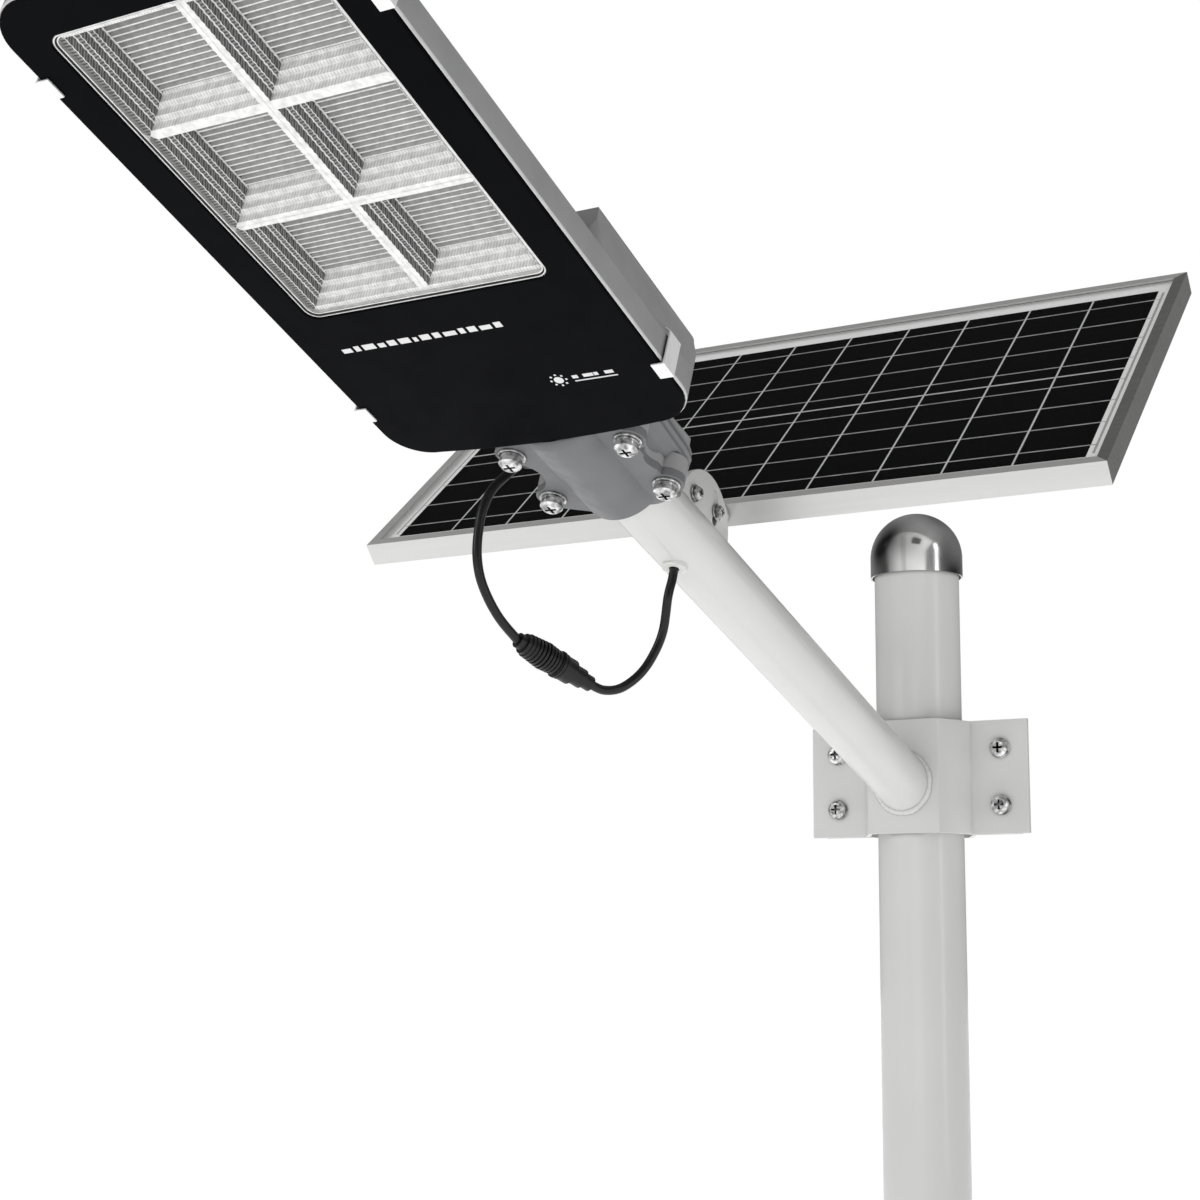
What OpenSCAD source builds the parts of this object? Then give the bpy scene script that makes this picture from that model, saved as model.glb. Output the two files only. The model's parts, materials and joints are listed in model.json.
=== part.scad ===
// Solar street lamp head assembly: the top section of a round pole, a clamp bracket with a
// welded arm, an LED lamp head clamped on the arm's end, and a solar panel on a tilting bracket.
// Frame: the pole stands on +Z, its socket's mouth is at the origin, the arm reaches towards -Y.

/* [Pole] */
// Outside diameter of the pole
pole_d = 76; // [70:1:90]
// Wall of the pole
pole_wall = 2.5; // [2:0.5:4]
// Length of this pole section, from the socket's mouth to the top
pole_len = 815; // [780:5:900]
// Depth of the socket that takes the next pole section
socket_len = 120; // [80:5:160]
// Outside radius of the dome cap
cap_r = 41.5; // [41:0.5:48]

/* [Bracket] */
// Height of the bracket's centre above the socket's mouth
bracket_z = 620; // [560:5:660]
// Height of the bracket
bracket_h = 100; // [80:5:120]
// Half of the front clamp's span
flange_x = 102; // [96:1:120]
// Half of the rear clamp's span
rear_flange_x = 92; // [90:1:110]
// Sheet thickness of both clamps
clamp_t = 4; // [3:0.5:5]
// Distance of the clamp bolts from the pole's centre plane
clamp_bolt_x = 77; // [70:1:84]
// Distance of the clamp bolts above and below the bracket's centre
clamp_bolt_z = 25; // [18:1:32]

/* [Arm] */
// Rise of the arm above horizontal, in degrees
arm_rise = 18.6; // [10:0.1:30]
// Outside diameter of the arm tube
arm_d = 48; // [48:0.5:49]
// Wall of the arm tube
arm_wall = 2.5; // [2:0.5:3]
// Distance along the arm to the lamp head's end wall
arm_reach = 630; // [600:5:680]
// Distance along the arm to the centre of the half-round ear plate
ear_s = 419; // [400:1:440]
// Radius of the ear plate
ear_r = 39; // [36:1:44]
// Distance along the arm to the cable hole
cable_hole_s = 446; // [430:1:460]

/* [Head] */
// Slope of the lamp head above horizontal, in degrees
head_rise = 21; // [18:0.1:24]
// Length of the front frame
head_len = 419; // [400:1:440]
// Width of the front frame
head_w = 221; // [210:1:230]
// Corner radius of the front frame
head_r = 28; // [20:1:36]
// Near edge of the window, from the neck end
win_u0 = 146.5; // [140:0.5:150]
// Far edge of the window, from the neck end
win_u1 = 393; // [385:0.5:398]
// Width of the window
win_w = 172.4; // [160:0.1:180]

/* [Panel] */
// Length of the solar panel
panel_len = 625; // [560:5:660]
// Width of the solar panel
panel_w = 325; // [300:5:360]
// Depth of the panel's frame
panel_d = 19; // [17:0.5:25]
// Tilt of the panel above horizontal, in degrees
panel_tilt = 40.4; // [36:0.1:44]
// Number of cell columns
cell_cols = 11; // [9:1:12]

/* [Cable] */
// Diameter of the lamp cable
cable_d = 6.5; // [5:0.5:8]

/* [Hidden] */
$fn = 64;
big = 1000;

pole_r = pole_d / 2;
bore_r = pole_r - pole_wall;
stop_h = 6;
stop_r = bore_r - 5;
set_screw_z = 40;
set_screws = 3;

// Clamp profile: hat section, seen from above
clamp_gap = 0.3;
hat_y = pole_r + clamp_gap + clamp_t;
hat_front_x = 33;
hat_back_x = 50;
flange_y = 6;
bolt_r = 4;
hole_r = 4.4;
head_h = 5.5;
pan_r = 8;
washer_r = 9;
washer_t = 1.6;
nut_h = 6.5;
nut_r = 7.5;

// Arm
arm_r = arm_d / 2;
arm_y0 = 41;
arm_drop = 6.5;
arm_len = arm_reach - 16;
ear_t = 5;
ear_n = 28;
pivot_s = ear_s + 21;
pivot_n = 40;
slot_r = 35.2;
slot_lo = -5;
slot_hi = 30;
lock_a = 6.5;
cable_hole_r = 6.5;

// Tilt bolts, smaller than the clamp bolts
tilt_r = 3;
tilt_head = 5;
tilt_washer = 6.5;
tilt_washer_t = 1.4;
tilt_nut = 5.8;
tilt_nut_h = 5;

// Lamp head, in its own frame: u runs from the neck end to the tip, v across, n up from the face
head_drop = 28.7;
plate_t = 2.5;
gasket_t = 1.5;
wall_n = plate_t + gasket_t;
rim = 1.2;
shell_t = 3;
wall_top = 21;
roof_n = 36;
shoulder_w = 14;
box_n = 62;
box_u = 142;
box_half = 105.5;
box_round = 8;
crease_n = 31;
draft = 6;
bow = 4.5;
bow_half = 82;
bow_r = (bow_half * bow_half + bow * bow) / (2 * bow);
win_r = 9;
tray_lip = 6.5;
ledge = 3;
bar = 6;
well_steps = 3;
step_in = 3.7;
step_n = 6;
tray_t = 2;
well_du = (win_u1 - win_u0 - 2 * ledge) / 3;
well_dv = (win_w - 2 * ledge) / 2;
well_l = well_du - bar;
well_w = well_dv - bar;
bar_n = 5;
floor_n = bar_n + well_steps * step_n;
lens_t = 2;
rib_h = 1;
ribs = 12;
board_n = floor_n + lens_t + 1.6;
chip = 3.5;
clip_u = [50, 362];
clip_w = 14;

// Neck clamp, in the arm's frame
split_n = -14;
neck_r = 32.5;
neck_end = 101;
neck_top = 113;
cover_gap = 10;
neck_bolt_s = [arm_reach - 27, arm_reach - 83];
neck_mid = arm_reach - 55;
neck_bolt_x = 44;
gland_x = 36.8;
gland_n = -7;
gland_len = 17;
gland_room = 8.6;
flange_t = 6;
fit = 0.08;

// Panel, in its own frame: x along the long side, y up the slope, z out of the glass
panel_x = -24.5;
panel_y = -384;
panel_z = bracket_z + 176.6;
lip = 9;
sheet_t = 1.6;
cell_margin = 20;
cell_top = 19;
cell_gap = 2.5;
flange_in = 22;
rail_x = [-57, -27];
rail_w = 22;
rail_lo = panel_d - sheet_t - 0.1;
rail_hi = 8;
rail_wall = 1.6;
small_r = 3;
small_hole = 3.2;
foot_y = [14, 56];
foot_far = 70;
foot_t = 4;
foot_x = [-68, -16];
bridge_y = -0.3;
cheek_x = 2.8;
cheek_t = 5;

// Places worked out from the frames
function arm_point(s, x, n) = [x, -arm_y0 - s * cos(arm_rise) + n * sin(arm_rise),
    bracket_z - arm_drop + s * sin(arm_rise) + n * cos(arm_rise)];
// A point of the arm's frame (s, n) seen in the panel's frame (slope, height)
function to_panel(s, n) = let (p = arm_point(s, 0, n), y = p[1] - panel_y, z = p[2] - panel_z)
    [y * cos(panel_tilt) + z * sin(panel_tilt), z * cos(panel_tilt) - y * sin(panel_tilt)];
lock_s = pivot_s - slot_r * cos(lock_a);
lock_n = pivot_n + slot_r * sin(lock_a);
pivot_p = to_panel(pivot_s, pivot_n);
lock_p = to_panel(lock_s, lock_n);

// Cable routes: hand-laid points from the gland down to the connector and up to the arm
lamp_route = [arm_point(neck_mid, -gland_x - gland_len, gland_n),
    arm_point(neck_mid, -gland_x - gland_len - 3, gland_n), [-60.5, -595, 783], [-66, -608, 769],
    [-69, -615, 754], [-71, -617, 738], [-71, -618, 722], [-70, -615, 707], [-68, -607, 693],
    [-66, -595, 681], [-63, -579, 670]];
arm_route = [[-40, -520, 645.5], [-36, -508, 642.5], [-29, -496, 645], [-20, -486, 655],
    [-13, -479, 669], [-7, -475, 687], arm_point(cable_hole_s, -1, -48), arm_point(cable_hole_s, 0, -34),
    arm_point(cable_hole_s, 0, -arm_r + 1)];
plug_a = lamp_route[len(lamp_route) - 1];
plug_b = arm_route[0];
plug_axis = plug_b - plug_a;
plug_len = norm(plug_axis);

// ---------- frames and common shapes ----------
module arm_frame() translate([0, -arm_y0, bracket_z - arm_drop]) rotate([-arm_rise, 0, 0]) children();
module arm_at(s, x = 0, n = 0) arm_frame() translate([x, -s, n]) children();
module head_frame() translate(arm_point(arm_reach, 0, -head_drop)) rotate([-head_rise, 0, 0]) children();
module head_at(u, v = 0, n = 0) head_frame() translate([v, -u, n]) children();
module panel_frame() translate([panel_x, panel_y, panel_z]) rotate([panel_tilt, 0, 0]) children();
module rod(r, h) rotate([90, 0, 0]) cylinder(r = r, h = h);

// Round-cornered rectangle from y = -l to y = 0, w wide
module round_rect(w, l, r) {
    translate([-w / 2 + r, -l]) square([w - 2 * r, l]);
    translate([-w / 2, -l + r]) square([w, l - 2 * r]);
    for (x = [-1, 1], y = [-l + r, -r]) translate([x * (w / 2 - r), y]) circle(r);
}

// Outline of the lamp head, grown by g, with its slightly bowed neck end
module head_outline(g) {
    translate([0, g]) round_rect(head_w + 2 * g, head_len + 2 * g, head_r + g);
    intersection() {
        translate([0, bow + g - bow_r]) circle(bow_r, $fn = 180);
        translate([-bow_half, g - 1]) square([2 * bow_half, bow + 1]);
    }
}

// Pan-head screw with a cross recess: head at z > 0, shank below
module pan_screw(r, length, head_r, height) {
    difference() {
        union() {
            translate([0, 0, -length]) cylinder(r = r, h = length + 0.5);
            cylinder(r = head_r, h = height * 0.6);
            translate([0, 0, height * 0.6 - 0.01]) cylinder(r1 = head_r, r2 = head_r * 0.7, h = height * 0.4);
        }
        for (a = [0, 90]) rotate(a) translate([-head_r * 0.55, -head_r * 0.12, height * 0.5])
            cube([head_r * 1.1, head_r * 0.24, height]);
    }
}
module hex_nut(r, hole, h) difference() {
    cylinder(r = r, h = h, $fn = 6);
    translate([0, 0, -1]) cylinder(r = hole, h = h + 2);
}
module ring(outer, inner, h) difference() {
    cylinder(r = outer, h = h);
    translate([0, 0, -1]) cylinder(r = inner, h = h + 2);
}

// Cable: a smooth curve through the route's points, swept as one ten-sided tube
cable_sides = 10;
cable_steps = 3;
function mix(p, i) = p[max(0, min(len(p) - 1, i))];
function curve(p, i, t) = let (a = mix(p, i - 1), b = p[i], c = mix(p, i + 1), d = mix(p, i + 2))
    0.5 * (2 * b + (c - a) * t + (2 * a - 5 * b + 4 * c - d) * t * t + (3 * b - a - 3 * c + d) * t * t * t);
function curve_points(p) = [for (i = [0 : len(p) - 2], k = [0 : cable_steps - 1]) curve(p, i, k / cable_steps),
    p[len(p) - 1]];
function unit(v) = v / norm(v);
function heading(q, i, first, last) = i == 0 ? first : i == len(q) - 1 ? last : unit(q[i + 1] - q[i - 1]);
module cable(p, first, last) {
    q = curve_points(p);
    n = len(q);
    pts = [for (i = [0 : n - 1]) let (t = heading(q, i, first, last), a = unit(cross(t, [0, 1, 0])),
        b = cross(t, a)) for (k = [0 : cable_sides - 1]) let (w = 360 * k / cable_sides)
        q[i] + cable_d / 2 * (cos(w) * a + sin(w) * b)];
    sides = [for (i = [0 : n - 2], k = [0 : cable_sides - 1]) let (m = (k + 1) % cable_sides)
        [i * cable_sides + k, i * cable_sides + m, (i + 1) * cable_sides + m, (i + 1) * cable_sides + k]];
    start = [[for (k = [cable_sides - 1 : -1 : 0]) k]];
    end = [[for (k = [0 : cable_sides - 1]) (n - 1) * cable_sides + k]];
    polyhedron(points = pts, faces = concat(sides, start, end), convexity = 6);
}
// Turns +Z onto the direction d
module along(d) rotate([0, acos(d[2] / norm(d)), atan2(d[1], d[0])]) children();

// ---------- pole ----------
module pole_tube() color("gainsboro") difference() {
    cylinder(r = pole_r, h = pole_len);
    translate([0, 0, -1]) cylinder(r = bore_r, h = socket_len + 1);
    translate([0, 0, socket_len + stop_h]) cylinder(r = bore_r, h = pole_len);
    translate([0, 0, socket_len - 1]) cylinder(r = stop_r, h = stop_h + 2);
    for (a = [0 : set_screws - 1]) rotate(a * 360 / set_screws + 30) translate([0, 0, set_screw_z])
        rotate([0, 90, 0]) cylinder(r = bolt_r, h = pole_d);
}
module socket_nuts() color("silver") for (a = [0 : set_screws - 1])
    rotate(a * 360 / set_screws + 30) translate([0, 0, set_screw_z]) difference() {
        translate([pole_r - 1.2, 0, 0]) rotate([0, 90, 0]) cylinder(r = nut_r, h = nut_h + 1.2, $fn = 6);
        rotate([0, 90, 0]) cylinder(r = bolt_r, h = pole_d);
        cylinder(r = pole_r, h = 4 * nut_r, center = true);
    }
module socket_screws() color("silver") for (a = [0 : set_screws - 1])
    rotate(a * 360 / set_screws + 30) translate([bore_r + 0.4, 0, set_screw_z]) rotate([0, 90, 0])
        difference() {
            cylinder(r = bolt_r - 0.02, h = 16);
            translate([0, 0, 12]) cylinder(r = 2.3, h = 5, $fn = 6);
        }
module dome_cap() color("silver") difference() {
    translate([0, 0, pole_len - 11]) rotate_extrude() intersection() {
        union() {
            square([cap_r, 18]);
            translate([0, 18]) circle(cap_r);
        }
        square([cap_r + 1, cap_r + 20]);
    }
    translate([0, 0, pole_len - 11]) rotate_extrude() intersection() {
        union() {
            translate([0, -1]) square([cap_r - 1.5, 19]);
            translate([0, 18]) circle(cap_r - 1.5);
        }
        translate([0, -1]) square([cap_r + 1, cap_r + 20]);
    }
}
module cap_liner() color("dimgray") translate([0, 0, pole_len - 10]) ring(cap_r - 1.5, pole_r, 9);

// ---------- clamp bracket ----------
module hat_profile(span) polygon([[-span, -flange_y], [-hat_back_x, -flange_y], [-hat_front_x, -hat_y],
    [hat_front_x, -hat_y], [hat_back_x, -flange_y], [span, -flange_y], [span, -flange_y + clamp_t],
    [hat_back_x - 2.5, -flange_y + clamp_t], [hat_front_x - 2.5, -hat_y + clamp_t],
    [-hat_front_x + 2.5, -hat_y + clamp_t], [-hat_back_x + 2.5, -flange_y + clamp_t],
    [-span, -flange_y + clamp_t]]);
module clamp_bolt_places() for (x = [-1, 1], z = [-1, 1])
    translate([x * clamp_bolt_x, 0, bracket_z + z * clamp_bolt_z]) children();
module clamp_half(span) difference() {
    translate([0, 0, bracket_z - bracket_h / 2]) linear_extrude(bracket_h) hat_profile(span);
    clamp_bolt_places() translate([0, big / 2, 0]) rod(hole_r, big);
}
module front_clamp() color("gainsboro") clamp_half(flange_x);
module rear_clamp() color("gainsboro") rotate(180) clamp_half(rear_flange_x);
module clamp_bolts() color("silver") clamp_bolt_places()
    translate([0, -flange_y - washer_t, 0]) rotate([90, 0, 0]) pan_screw(bolt_r, 30, pan_r, head_h);
module clamp_washers() color("silver") clamp_bolt_places() for (y = [-flange_y, flange_y + washer_t])
    translate([0, y, 0]) rotate([90, 0, 0]) ring(washer_r, bolt_r + 0.2, washer_t);
module clamp_nuts() color("silver") clamp_bolt_places()
    translate([0, flange_y + washer_t + nut_h, 0]) rotate([90, 0, 0]) hex_nut(nut_r, bolt_r, nut_h);

// ---------- arm ----------
module behind_hat() translate([-big / 2, -hat_y, 0]) cube([big, big, big]);
module arm_tube() color("gainsboro") difference() {
    arm_at(-40) rod(arm_r, arm_len + 40);
    arm_at(-60) rod(arm_r - arm_wall, arm_len + 100);
    arm_at(cable_hole_s, 0, -arm_d) cylinder(r = cable_hole_r, h = arm_d);
    behind_hat();
}
module arm_weld() color("lightgray") difference() {
    arm_at(-40) rod(arm_r + 3.5, 100);
    arm_at(-60) rod(arm_r, 200);
    behind_hat();
    translate([-big / 2, -hat_y - 4 - big, 0]) cube([big, big, big]);
}
module slot_shape(r) {
    rotate_extrude_arc(slot_r + r, slot_r - r, slot_lo, slot_hi);
    for (a = [slot_lo, slot_hi]) rotate(180 - a) translate([slot_r, 0]) circle(r + 0.05);
}
// Flat arc between two radii, measured from the -x direction
module rotate_extrude_arc(outer, inner, lo, hi) intersection() {
    difference() {
        circle(outer);
        circle(inner);
    }
    polygon([[0, 0], for (a = [lo, (lo + hi) / 2, hi]) 2 * outer * [-cos(a), sin(a)]]);
}
// The ear is drawn flat as (distance, height), then stood on the arm's centre plane
module ear_plate() color("gainsboro") arm_frame() difference() {
    rotate([90, 0, -90]) translate([0, 0, -ear_t / 2]) linear_extrude(ear_t) difference() {
        translate([ear_s, ear_n]) intersection() {
            circle(ear_r);
            translate([-2 * ear_r, -10]) square([4 * ear_r, 2 * ear_r]);
        }
        translate([pivot_s, pivot_n]) circle(tilt_r + fit);
        translate([pivot_s, pivot_n]) slot_shape(tilt_r + 0.4);
    }
    rod(arm_r, big);
}
module arm_grommet() color("white") arm_at(cable_hole_s) difference() {
    intersection() {
        union() {
            translate([0, 0, -arm_r - 1.2]) cylinder(r = cable_hole_r, h = 6);
            translate([0, 0, -arm_r - 1.6]) cylinder(r = cable_hole_r + 2.5, h = 4);
        }
        union() {
            translate([0, 0, -big / 2]) cylinder(r = cable_hole_r, h = big);
            difference() {
                cube([big, big, big], center = true);
                translate([0, big / 2, 0]) rod(arm_r, big);
            }
        }
    }
    translate([0, 0, -arm_d]) cylinder(r = cable_d / 2 + 0.5, h = arm_d);
}
module arm_lead() color("black") cable(arm_route, unit(plug_axis), [0, sin(arm_rise), cos(arm_rise)]);
module lamp_lead() color("black") cable(lamp_route, [-1, 0, 0], unit(plug_axis));
module cable_plug() color("black") translate(plug_a + unit(plug_axis) * 0.5) along(plug_axis)
    rotate_extrude() union() {
        square([5.5, 6]);
        translate([0, 5]) square([7.5, 4]);
        for (k = [0 : 8]) translate([0, 8 + k * 3]) square([10 - abs(k - 5) * 0.3, 2]);
        translate([0, 8]) square([8, 27]);
    }
module cable_socket() color("black") translate(plug_a) along(plug_axis) rotate_extrude() union() {
    translate([0, 35.5]) square([9, 14]);
    for (k = [0 : 4]) translate([0, 36.5 + k * 2.8]) square([10 - k * 0.5, 1.8]);
    translate([0, 49]) square([7, plug_len - 49 - 8]);
    translate([0, plug_len - 9]) square([5.5, 9]);
}

// ---------- lamp head ----------
module window_shape(g) translate([0, -win_u0 + g])
    round_rect(win_w + 2 * g, win_u1 - win_u0 + 2 * g, win_r + g);
module front_frame() color("#1a1c1e") head_frame() linear_extrude(plate_t) difference() {
    head_outline(0);
    window_shape(0);
}
module frame_gasket() color("#202020") head_frame() translate([0, 0, plate_t]) linear_extrude(gasket_t)
    difference() {
        head_outline(0.4);
        head_outline(-5);
    }
// Prisms in the lamp head's frame: a (across, up) profile along the head, a (along, up) one across it
module cross_prism(l) rotate([90, 0, 0]) linear_extrude(l) children();
module side_prism(w) rotate([90, 0, -90]) translate([0, 0, -w / 2]) linear_extrude(w) children();
// Low part of the housing: upright wall, sloped shoulder, flat roof; g grows every face
module low_body(g) intersection() {
    translate([0, 0, g < 0 ? -1 : wall_n]) linear_extrude(roof_n) head_outline(rim + g);
    translate([0, 20, 0]) cross_prism(head_len + 40) shoulder(-head_w / 2 - rim - g, head_w / 2 + rim + g, g);
    side_prism(head_w + 20) shoulder(-4 * shoulder_w, head_len + rim + g, g);
}
module shoulder(lo, hi, g) polygon([[lo, -2], [lo, wall_top], [lo + shoulder_w, roof_n + g],
    [hi - shoulder_w, roof_n + g], [hi, wall_top], [hi, -2]]);
// Raised box over the battery and the controller, with drafted sides and a rounded top
module box_body(g) intersection() {
    translate([0, g, wall_top - 2]) linear_extrude(box_n) round_rect(2 * (box_half + g), box_u + 2 * g, 14);
    translate([0, 20, 0]) cross_prism(box_u + 40) box_profile(-box_half - g, box_half + g, box_n + g);
    side_prism(head_w) box_profile(-g, box_u + g, box_n + g);
}
module box_profile(lo, hi, top) {
    polygon([[lo, 0], [lo, crease_n], [lo + draft, top - box_round], [lo + draft + box_round, top],
        [hi - draft - box_round, top], [hi - draft, top - box_round], [hi, crease_n], [hi, 0]]);
    for (c = [lo + draft + box_round, hi - draft - box_round]) translate([c, top - box_round])
        circle(box_round);
}
// Neck, in the arm's frame: the flange both halves share, then a flared body drawn in to the tube
module neck_outline() difference() {
    union() {
        polygon([[-46, -arm_reach + cover_gap], [-46, -arm_reach + 97], [-26, -arm_reach + 106],
            [26, -arm_reach + 106], [46, -arm_reach + 100], [46, -arm_reach + cover_gap]]);
        for (s = neck_bolt_s, x = [-1, 1]) translate([x * neck_bolt_x, -s]) circle(12);
    }
    translate([-57, -neck_mid]) circle(20);
    translate([60, -neck_mid]) circle(17);
}
module neck_body() arm_frame() intersection() {
    translate([0, 0, split_n]) linear_extrude(60) polygon([[-57, -arm_reach - 12], [-57, -arm_reach + 30],
        [-53, -arm_reach + 55], [-52, -arm_reach + 86], [-45, -arm_reach + 102], [-27, -arm_reach + neck_top],
        [27, -arm_reach + neck_top], [45, -arm_reach + 102], [52, -arm_reach + 86], [53, -arm_reach + 55],
        [57, -arm_reach + 30], [57, -arm_reach - 12]]);
    translate([0, -arm_reach + 200, 0]) cross_prism(240) neck_profile();
    side_prism(200) polygon([[arm_reach - 200, split_n], [arm_reach - 200, neck_r], [arm_reach - 90, 33],
        [arm_reach + 12, 34], [arm_reach + 12, split_n]]);
}
module neck_profile() {
    polygon([[-36, split_n], [-36, split_n + 10], [-57, 6], [-57, 12], [-46, 26], [-30, 34], [30, 34],
        [46, 26], [57, 12], [57, 6], [36, split_n + 10], [36, split_n]]);
}
module neck_flange_body() arm_frame() translate([0, 0, split_n]) linear_extrude(12) neck_outline();
module neck_bolt_places(n) for (s = neck_bolt_s, x = [-1, 1]) arm_at(s, x * neck_bolt_x, n) children();
module fins() for (k = [-5 : 5]) translate([k * 14 - 1.2, -404, roof_n - 2]) cube([2.4, 254, 11]);
module head_housing() color("#8e8e8e") difference() {
    union() {
        head_frame() {
            low_body(0);
            box_body(0);
            fins();
        }
        neck_body();
        neck_flange_body();
    }
    head_frame() {
        low_body(-shell_t);
        box_body(-shell_t);
    }
    arm_at(arm_reach - 200) rod(arm_r + fit, 190);
    neck_bolt_places(split_n - 1) cylinder(r = bolt_r, h = 16);
    arm_at(neck_mid, -28, gland_n) rotate([0, -90, 0]) cylinder(r = 5, h = 40);
    arm_at(neck_mid - 4, -33, gland_n) rod(3.5, 90);
    gland_space();
}
module gland_space() arm_at(neck_mid, -gland_x, gland_n) rotate([0, -90, 0]) cylinder(r = gland_room, h = 40);
module neck_cover() color("#7c7e80") difference() {
    union() {
        arm_frame() translate([0, 0, split_n - flange_t]) linear_extrude(flange_t) neck_outline();
        difference() {
            arm_at(arm_reach - neck_end) rod(neck_r, neck_end - cover_gap);
            arm_frame() translate([-big / 2, -big, split_n]) cube([big, big, big]);
        }
    }
    arm_at(0) rod(arm_r + fit, big);
    neck_bolt_places(split_n - big / 2) cylinder(r = hole_r, h = big);
    gland_space();
}
neck_seat = split_n - flange_t;
module neck_flat_washers() color("silver") neck_bolt_places(neck_seat - 1.6) ring(9.5, bolt_r + 0.3, 1.6);
module neck_spring_washers() color("silver") neck_bolt_places(neck_seat - 3.9) difference() {
    ring(7.6, bolt_r + 0.2, 2.2);
    rotate(40) translate([0, -0.4, -1]) cube([20, 0.8, 5]);
}
module neck_bolts() color("silver") neck_bolt_places(neck_seat - 3.95) rotate([180, 0, 0])
    pan_screw(bolt_r - 0.02, 22, pan_r, 6);

module each_well() for (i = [0 : 2], j = [0, 1])
    translate([(j - 0.5) * well_dv, -win_u0 - ledge - (i + 0.5) * well_du, 0]) children();
module block(w, l, h) translate([-w / 2, -l / 2, 0]) cube([w, l, h]);
module reflector_tray() color("#d4d4d2") head_frame() difference() {
    translate([0, 0, plate_t]) linear_extrude(bar_n - plate_t + tray_t) window_shape(tray_lip);
    translate([0, 0, -1]) linear_extrude(bar_n + 1) window_shape(-ledge);
    each_well() translate([0, 0, bar_n - 1]) block(well_w - step_in, well_l - step_in, tray_t + 2);
}
// Stepped walls of each well, standing on the tray
module reflector_cups() color("#d4d4d2") head_frame() each_well() difference() {
    for (k = [0 : well_steps - 1]) translate([0, 0, bar_n + tray_t])
        block(well_w - 2 * k * step_in + 2, well_l - 2 * k * step_in + 2, (k + 1) * step_n - tray_t);
    for (k = [0 : well_steps - 1]) translate([0, 0, bar_n - 1]) block(well_w - 2 * (k + 0.5) * step_in,
        well_l - 2 * (k + 0.5) * step_in, (k + 1) * step_n + (k == well_steps - 1 ? 2 : -0.5));
}
lens_w = well_w - 2 * well_steps * step_in + 6;
lens_l = well_l - 2 * well_steps * step_in + 6;
module well_lenses() color("#e8eef0") head_frame() each_well() translate([0, 0, floor_n + 0.05]) {
    block(lens_w, lens_l, lens_t);
    rotate([90, 0, 90]) translate([0, 0, -(lens_w - 8) / 2]) linear_extrude(lens_w - 8)
        polygon([for (k = [0 : 2 * ribs]) [(k / (2 * ribs) - 0.5) * (lens_l - 8), k % 2 == 0 ? 0.1 : -rib_h]]);
}
module led_board() color("white") head_frame() translate([0, 0, board_n])
    linear_extrude(1.6) window_shape(2);
module led_chips() color("khaki") head_frame() each_well()
    for (x = [-1.5 : 1 : 1.5], y = [-1, 0, 1]) translate([x * 12, y * 16, floor_n + lens_t + 0.2])
        block(chip, chip, board_n - floor_n - lens_t - 0.2);
module battery_tray() color("dimgray") head_frame() translate([-20, -66, roof_n - 12]) difference() {
    block(154, 112, 20);
    translate([0, 0, 1.5]) block(151, 109, 20);
}
module battery_cells() color("steelblue") head_frame() for (i = [0 : 3], j = [0])
    translate([-76 + i * 37.2, -66 + 34, roof_n + 6]) rod(16.4, 68);
module controller_board() color("darkgreen") head_frame() translate([78, -66, roof_n - 12])
    block(36, 104, 1.6);
module controller_parts() color("black") head_frame() translate([78, -66, roof_n - 10.4]) {
    block(14, 20, 9);
    translate([0, 34, 0]) block(20, 14, 11);
    for (y = [-40, -26]) translate([-6, y, 0]) cylinder(r = 5, h = 13);
    translate([10, -33, 0]) block(8, 22, 6);
}
// Spring clip, drawn as (across, up) and extruded along the head
module clip_profile() polygon([[105, 0], [113.1, 0], [113.1, wall_top + 1.6], [109.6, wall_top + 5.1],
    [110.5, wall_top + 6], [114.4, wall_top + 2.1], [114.4, -1.3], [105, -1.3]]);
module latch_clips() color("silver") head_frame() for (u = clip_u, x = [0, 1]) mirror([x, 0, 0])
    translate([0, -u + clip_w / 2, 0]) rotate([90, 0, 0]) linear_extrude(clip_w) clip_profile();
module cable_gland() color("#222222") arm_at(neck_mid, -gland_x, gland_n) rotate([0, -90, 0]) {
    translate([0, 0, -7]) cylinder(r = 4.9, h = 8);
    cylinder(r = 7.5, h = 3, $fn = 6);
    translate([0, 0, 2.9]) cylinder(r = 6, h = 4);
    translate([0, 0, 6.8]) cylinder(r1 = 6, r2 = 4.2, h = gland_len - 6.8);
}

// ---------- solar panel ----------
rail_profile = [[0, 0], [0, -panel_d], [flange_in, -panel_d], [flange_in, -panel_d + sheet_t],
    [sheet_t, -panel_d + sheet_t], [sheet_t, -8], [lip, -8], [lip, -6.6], [sheet_t, -6.6],
    [sheet_t, -1.4], [lip, -1.4], [lip, 0]];
// A mitred rail of the given length along +x, its outer face on y = 0
module rail(length) intersection() {
    rotate([90, 0, 90]) linear_extrude(length) polygon(rail_profile);
    translate([0, 0, -panel_d - 1]) linear_extrude(panel_d + 2)
        polygon([[0, 0], [length, 0], [length - length / 2, length / 2]]);
}
module rail_hole(x, y) translate([x - panel_x, y, -panel_d - 1]) cylinder(r = small_hole, h = 4);
module frame_rail_low() color("lightgray") panel_frame() difference() {
    translate([-panel_len / 2, 0, 0]) rail(panel_len);
    for (x = rail_x) rail_hole(x, foot_y[0]);
}
module frame_rail_high() color("lightgray") panel_frame() difference() {
    translate([panel_len / 2, panel_w, 0]) rotate(180) rail(panel_len);
    for (x = rail_x) rail_hole(x, panel_w - foot_y[0]);
}
module frame_rail_left() color("lightgray") panel_frame()
    translate([-panel_len / 2, panel_w, 0]) rotate(-90) rail(panel_w);
module frame_rail_right() color("lightgray") panel_frame()
    translate([panel_len / 2, 0, 0]) rotate(90) rail(panel_w);
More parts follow.
